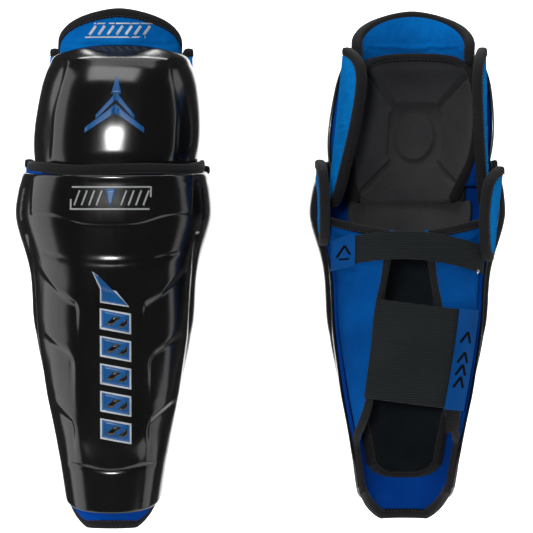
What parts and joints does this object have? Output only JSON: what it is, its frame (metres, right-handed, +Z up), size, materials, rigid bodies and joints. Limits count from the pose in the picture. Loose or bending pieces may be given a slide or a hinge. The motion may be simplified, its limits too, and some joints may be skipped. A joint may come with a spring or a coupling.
{
  "type": "shin guard pair",
  "caption": "Moulded hard-shell shin guards with a tilting knee cap, soft liner, side wings, calf flaps and elastic straps, for ice sports.",
  "frame": {"origin": "centre of the pair's box, at rest", "axes": "+Z up the leg towards the knee; the right guard stands on the -X side and faces -Y, the left guard on the +X side is turned round and faces +Y"},
  "size_m": [0.4394, 0.1858, 0.462],
  "materials": {
    "shell": "gloss, moulded",
    "neoprene": "blue knit on foam",
    "binding": "stitched tape",
    "lining": "brushed knit on foam",
    "elastic": "ribbed elastic",
    "webbing": "woven",
    "tab": "welded trim",
    "rivet": "plated"
  },
  "bodies": {
    "shin_guards": {"right_shin_shell": "shell", "right_shin_liner": "neoprene", "right_shin_rim_binding": "binding", "right_edge_binding": "binding", "right_shin_pad": "lining", "right_knee_pad_apron": "lining", "right_calf_flap_lateral": "neoprene", "right_hinge_webbing": "webbing", "right_upper_strap_anchor": "elastic", "right_strap_rivet": "rivet", "left_shin_shell": "shell", "left_shin_liner": "neoprene", "left_shin_rim_binding": "binding", "left_edge_binding": "binding", "left_shin_pad": "lining", "left_knee_pad_apron": "lining", "left_calf_flap_lateral": "neoprene", "left_hinge_webbing": "webbing", "left_upper_strap_anchor": "elastic", "left_strap_rivet": "rivet"},
    "right_knee_cap": {"right_knee_cap": "shell", "right_knee_liner": "neoprene", "right_knee_pad": "lining", "right_cap_rivets": "rivet"},
    "right_thigh_pad": {"right_thigh_pad": "neoprene", "right_thigh_pad_binding": "binding"},
    "right_knee_wing_lateral": {"right_knee_wing_lateral": "neoprene", "right_knee_wing_binding_lateral": "binding"},
    "right_knee_wing_medial": {"right_knee_wing_medial": "neoprene", "right_knee_wing_binding_medial": "binding"},
    "right_shin_wing_lateral": {"right_shin_wing_lateral": "neoprene", "right_shin_wing_binding_lateral": "binding"},
    "right_shin_wing_medial": {"right_shin_wing_medial": "neoprene", "right_shin_wing_binding_medial": "binding"},
    "right_calf_flap_medial": {"right_calf_flap_medial": "neoprene", "right_calf_binding_medial": "binding"},
    "right_upper_strap": {"right_upper_strap": "elastic", "right_upper_strap_tab": "tab"},
    "right_calf_strap": {"right_calf_strap": "elastic", "right_calf_strap_tab": "tab"},
    "left_knee_cap": {"left_knee_cap": "shell", "left_knee_liner": "neoprene", "left_knee_pad": "lining", "left_cap_rivets": "rivet"},
    "left_thigh_pad": {"left_thigh_pad": "neoprene", "left_thigh_pad_binding": "binding"},
    "left_knee_wing_lateral": {"left_knee_wing_lateral": "neoprene", "left_knee_wing_binding_lateral": "binding"},
    "left_knee_wing_medial": {"left_knee_wing_medial": "neoprene", "left_knee_wing_binding_medial": "binding"},
    "left_shin_wing_lateral": {"left_shin_wing_lateral": "neoprene", "left_shin_wing_binding_lateral": "binding"},
    "left_shin_wing_medial": {"left_shin_wing_medial": "neoprene", "left_shin_wing_binding_medial": "binding"},
    "left_calf_flap_medial": {"left_calf_flap_medial": "neoprene", "left_calf_binding_medial": "binding"},
    "left_upper_strap": {"left_upper_strap": "elastic", "left_upper_strap_tab": "tab"},
    "left_calf_strap": {"left_calf_strap": "elastic", "left_calf_strap_tab": "tab"}
  },
  "joints": [
    {"name": "right_knee_cap_tilt", "type": "hinge", "parent": "shin_guards", "child": "right_knee_cap", "pos_m": [-0.13155, -0.04, 0.089], "axis": [1, 0, 0], "range_deg": [-6, 15], "deforming": ["right_hinge_webbing"]},
    {"name": "right_thigh_pad_flex", "type": "hinge", "parent": "right_knee_cap", "child": "right_thigh_pad", "pos_m": [-0.13155, -0.043, 0.199], "axis": [1, 0, 0], "range_deg": [-15, 12]},
    {"name": "right_knee_wing_lateral_flex", "type": "hinge", "parent": "right_knee_cap", "child": "right_knee_wing_lateral", "pos_m": [-0.19986, 0.019, 0.055], "axis": [-0.0933, 0.014, -0.9955], "range_deg": [-14, 10]},
    {"name": "right_knee_wing_medial_flex", "type": "hinge", "parent": "right_knee_cap", "child": "right_knee_wing_medial", "pos_m": [-0.06286, 0.019, 0.055], "axis": [-0.0119, -0.0141, 0.9998], "range_deg": [-14, 10]},
    {"name": "right_shin_wing_lateral_flex", "type": "hinge", "parent": "shin_guards", "child": "right_shin_wing_lateral", "pos_m": [-0.20705, 0.0365, 0.021], "axis": [0.046, -0.0066, -0.9989], "range_deg": [-15, 8]},
    {"name": "right_shin_wing_medial_flex", "type": "hinge", "parent": "shin_guards", "child": "right_shin_wing_medial", "pos_m": [-0.05905, 0.0358, 0.007], "axis": [0.1084, 0.0142, 0.994], "range_deg": [-15, 6]},
    {"name": "right_calf_flap_medial_flex", "type": "hinge", "parent": "shin_guards", "child": "right_calf_flap_medial", "pos_m": [-0.08635, 0.02853, -0.127], "axis": [0.1535, 0.0531, 0.9867], "range_deg": [0, 12]},
    {"name": "right_upper_strap_open", "type": "hinge", "parent": "shin_guards", "child": "right_upper_strap", "pos_m": [-0.09955, 0.06128, 0.019], "axis": [0, 0, -1], "range_deg": [0, 90]},
    {"name": "right_calf_strap_open", "type": "hinge", "parent": "shin_guards", "child": "right_calf_strap", "pos_m": [-0.17105, 0.04165, -0.128], "axis": [0.1271, 0.182, 0.975], "range_deg": [0, 90]},
    {"name": "left_knee_cap_tilt", "type": "hinge", "parent": "shin_guards", "child": "left_knee_cap", "pos_m": [0.13145, 0.04, 0.089], "axis": [-1, 0, 0], "range_deg": [-6, 15], "deforming": ["left_hinge_webbing"]},
    {"name": "left_thigh_pad_flex", "type": "hinge", "parent": "left_knee_cap", "child": "left_thigh_pad", "pos_m": [0.13145, 0.043, 0.199], "axis": [-1, 0, 0], "range_deg": [-15, 12]},
    {"name": "left_knee_wing_lateral_flex", "type": "hinge", "parent": "left_knee_cap", "child": "left_knee_wing_lateral", "pos_m": [0.06314, -0.019, 0.055], "axis": [0.0933, 0.014, 0.9955], "range_deg": [-14, 10]},
    {"name": "left_knee_wing_medial_flex", "type": "hinge", "parent": "left_knee_cap", "child": "left_knee_wing_medial", "pos_m": [0.20014, -0.019, 0.055], "axis": [0.0119, -0.0141, -0.9998], "range_deg": [-14, 10]},
    {"name": "left_shin_wing_lateral_flex", "type": "hinge", "parent": "shin_guards", "child": "left_shin_wing_lateral", "pos_m": [0.05595, -0.0365, 0.021], "axis": [-0.046, -0.0066, 0.9989], "range_deg": [-15, 8]},
    {"name": "left_shin_wing_medial_flex", "type": "hinge", "parent": "shin_guards", "child": "left_shin_wing_medial", "pos_m": [0.20395, -0.0358, 0.007], "axis": [-0.1084, 0.0142, -0.994], "range_deg": [-15, 6]},
    {"name": "left_calf_flap_medial_flex", "type": "hinge", "parent": "shin_guards", "child": "left_calf_flap_medial", "pos_m": [0.17666, -0.02853, -0.127], "axis": [-0.1535, 0.0531, -0.9867], "range_deg": [0, 12]},
    {"name": "left_upper_strap_open", "type": "hinge", "parent": "shin_guards", "child": "left_upper_strap", "pos_m": [0.16345, -0.06128, 0.019], "axis": [0, 0, 1], "range_deg": [0, 90]},
    {"name": "left_calf_strap_open", "type": "hinge", "parent": "shin_guards", "child": "left_calf_strap", "pos_m": [0.09195, -0.04165, -0.128], "axis": [-0.1271, 0.182, -0.975], "range_deg": [0, 90]}
  ]
}
